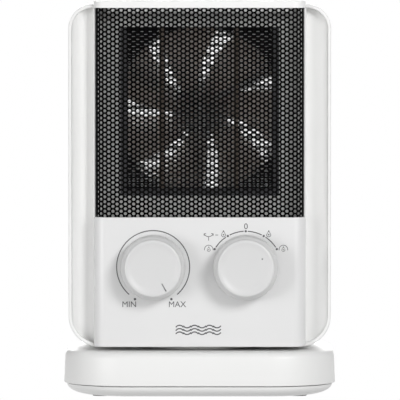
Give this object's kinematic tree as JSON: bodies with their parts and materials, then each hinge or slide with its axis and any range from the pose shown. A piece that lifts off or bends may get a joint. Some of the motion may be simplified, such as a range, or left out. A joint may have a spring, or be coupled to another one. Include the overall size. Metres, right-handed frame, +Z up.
{
  "type": "ceramic space heater",
  "caption": "Compact ceramic fan heater: box housing with a perforated front, two dials below it, standing on a rounded base it swivels on.",
  "frame": {"origin": "centre of the bounding box on the floor, on the swivel axis", "axes": "+Z up, the front with its dials faces -Y, +X to the viewer's right"},
  "size_m": [0.171, 0.13, 0.2487],
  "materials": {
    "white_plastic": "fine satin moulding",
    "light_plastic": "fine satin moulding",
    "black_mesh": "black powder coat",
    "dark_plastic": "matt",
    "foot_rubber": "matt",
    "plated_steel": "zinc plated",
    "fin_aluminium": "bare strip",
    "amber_plastic": "heat-resistant moulding",
    "ceramic": "fired, unglazed",
    "red_sleeve": "woven sleeve"
  },
  "bodies": {
    "base": {"base_cover": "white_plastic", "base_tray": "white_plastic", "foot_1": "foot_rubber", "foot_2": "foot_rubber", "foot_3": "foot_rubber", "foot_4": "foot_rubber", "tray_screw_1": "plated_steel", "tray_screw_2": "plated_steel", "tray_screw_3": "plated_steel", "tray_screw_4": "plated_steel", "ballast_plate": "plated_steel", "osc_motor": "plated_steel", "osc_motor_screw_1": "plated_steel", "osc_motor_screw_2": "plated_steel", "tip_switch_body": "dark_plastic", "cord_gland": "dark_plastic", "base_lead": "dark_plastic"},
    "housing": {"turntable": "light_plastic", "retainer_ring": "dark_plastic", "ring_screw_1": "plated_steel", "ring_screw_2": "plated_steel", "ring_screw_3": "plated_steel", "outer_shell": "white_plastic", "rear_cover": "white_plastic", "rear_screw_1": "plated_steel", "rear_screw_2": "plated_steel", "rear_screw_3": "plated_steel", "rear_screw_4": "plated_steel", "front_bezel": "light_plastic", "grille_mesh": "black_mesh", "control_panel": "white_plastic", "thermostat_body": "ceramic", "selector_switch_body": "dark_plastic", "heater_frame": "dark_plastic", "ceramic_bar_1": "ceramic", "ceramic_bar_2": "ceramic", "fin_pack_1": "fin_aluminium", "fin_pack_2": "fin_aluminium", "fin_pack_3": "fin_aluminium", "fin_pack_4": "fin_aluminium", "fan_shroud": "dark_plastic", "motor_bracket": "plated_steel", "fan_motor": "plated_steel", "thermal_cutout": "plated_steel", "thermal_fuse": "red_sleeve", "terminal_block": "light_plastic", "heater_lead": "red_sleeve", "mains_lead": "dark_plastic"},
    "fan": {"impeller": "amber_plastic", "motor_shaft": "plated_steel"},
    "thermostat_dial": {"thermostat_knob": "light_plastic", "thermostat_shaft": "plated_steel"},
    "selector_dial": {"selector_knob": "light_plastic", "selector_shaft": "plated_steel"},
    "swing_crank": {"osc_crank": "dark_plastic"},
    "tip_plunger": {"tilt_plunger": "dark_plastic"}
  },
  "joints": [
    {"name": "housing_swivel", "type": "hinge", "parent": "base", "child": "housing", "pos_m": [0, 0, 0.03], "axis": [0, 0, 1], "range_deg": [-35, 35]},
    {"name": "crank_turn", "type": "hinge", "parent": "base", "child": "swing_crank", "pos_m": [0, 0.017, 0.02], "axis": [0, 0, 1], "range_deg": [-125, 125]},
    {"name": "fan_spin", "type": "hinge", "parent": "housing", "child": "fan", "pos_m": [0, 0.008, 0.1795], "axis": [0, -1, 0], "continuous": true},
    {"name": "thermostat_turn", "type": "hinge", "parent": "housing", "child": "thermostat_dial", "pos_m": [-0.0292, -0.05, 0.082], "axis": [0, 1, 0], "range_deg": [-300, 0]},
    {"name": "selector_turn", "type": "hinge", "parent": "housing", "child": "selector_dial", "pos_m": [0.0289, -0.05, 0.082], "axis": [0, 1, 0], "range_deg": [-120, 0]},
    {"name": "tip_plunger_slide", "type": "slide", "parent": "base", "child": "tip_plunger", "axis": [0, 0, 1], "range_m": [-0.0035, 0], "stiffness_N_per_m": 60, "springref_m": -0.012}
  ],
  "couplings": [
    {"joint": "crank_turn", "follows": "housing_swivel", "ratio": 3.5714}
  ]
}
